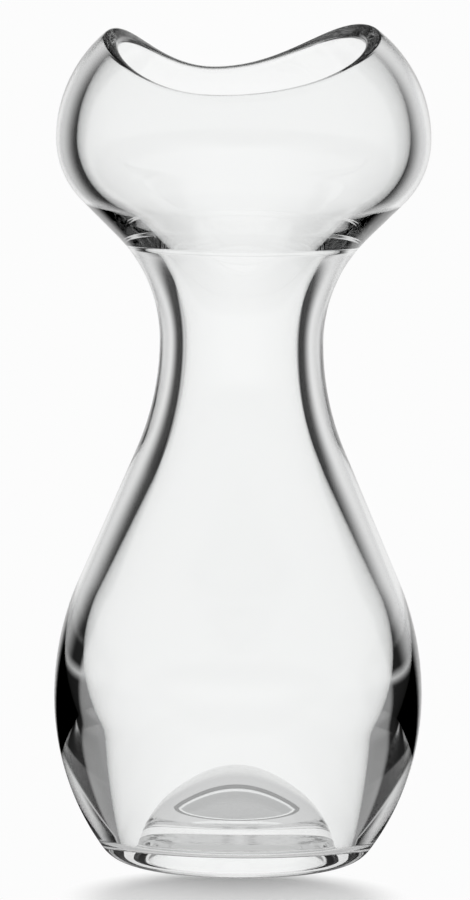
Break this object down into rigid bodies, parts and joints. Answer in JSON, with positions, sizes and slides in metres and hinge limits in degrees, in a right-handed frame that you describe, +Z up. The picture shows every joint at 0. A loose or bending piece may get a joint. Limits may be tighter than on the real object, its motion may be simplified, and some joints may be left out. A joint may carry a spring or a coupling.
{
  "type": "hyacinth forcing vase",
  "caption": "Clear blown-glass bulb vase: open cup with a wavy saddle rim, seat above a narrow waist, flared root chamber and a pushed-up base.",
  "frame": {"origin": "middle of the foot, in the plane of the ring that the vase stands on", "axes": "+Z up along the vase's axis; +X towards the right-hand lobe of the rim as pictured, and +Y away from the viewer, towards the deeper of the rim's two dips"},
  "size_m": [0.1, 0.1, 0.2245],
  "materials": {
    "clear_glass": "clear, fire-polished"
  },
  "bodies": {
    "root": {"vase_body": "clear_glass"}
  },
  "joints": []
}
